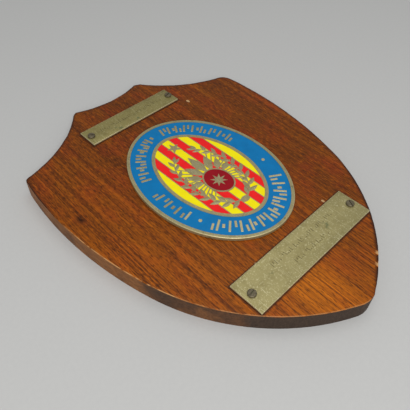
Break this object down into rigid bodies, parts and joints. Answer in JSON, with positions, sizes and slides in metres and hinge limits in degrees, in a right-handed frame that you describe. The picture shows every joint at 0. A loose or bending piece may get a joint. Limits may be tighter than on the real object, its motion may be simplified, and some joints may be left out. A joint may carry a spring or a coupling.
{
  "type": "wall plaque",
  "caption": "Shield-shaped wooden wall plaque with a raised oval enamelled brass medallion and screwed-on engraved brass name plates above and below it.",
  "frame": {"origin": "middle of the flat back, where it meets the wall", "axes": "+Z out of the front, +Y to the plaque's top, +X to the viewer's right as one faces the front"},
  "size_m": [0.1694, 0.2184, 0.0142],
  "materials": {
    "board_wood": "satin varnish over straight reddish-brown grain, worn pale along the front edge",
    "medallion_enamel": "glossy blue, yellow, red and dark red enamel between dull brass lines",
    "plate_brass": "dull, lightly scratched brass with shallow dark engraved strokes",
    "screw_brass": "dark tarnish"
  },
  "bodies": {
    "root": {"shield_board": "board_wood", "medallion": "medallion_enamel", "lower_name_plate": "plate_brass", "upper_name_plate": "plate_brass", "lower_left_screw": "screw_brass", "lower_right_screw": "screw_brass", "upper_left_screw": "screw_brass", "upper_right_screw": "screw_brass"}
  },
  "joints": []
}
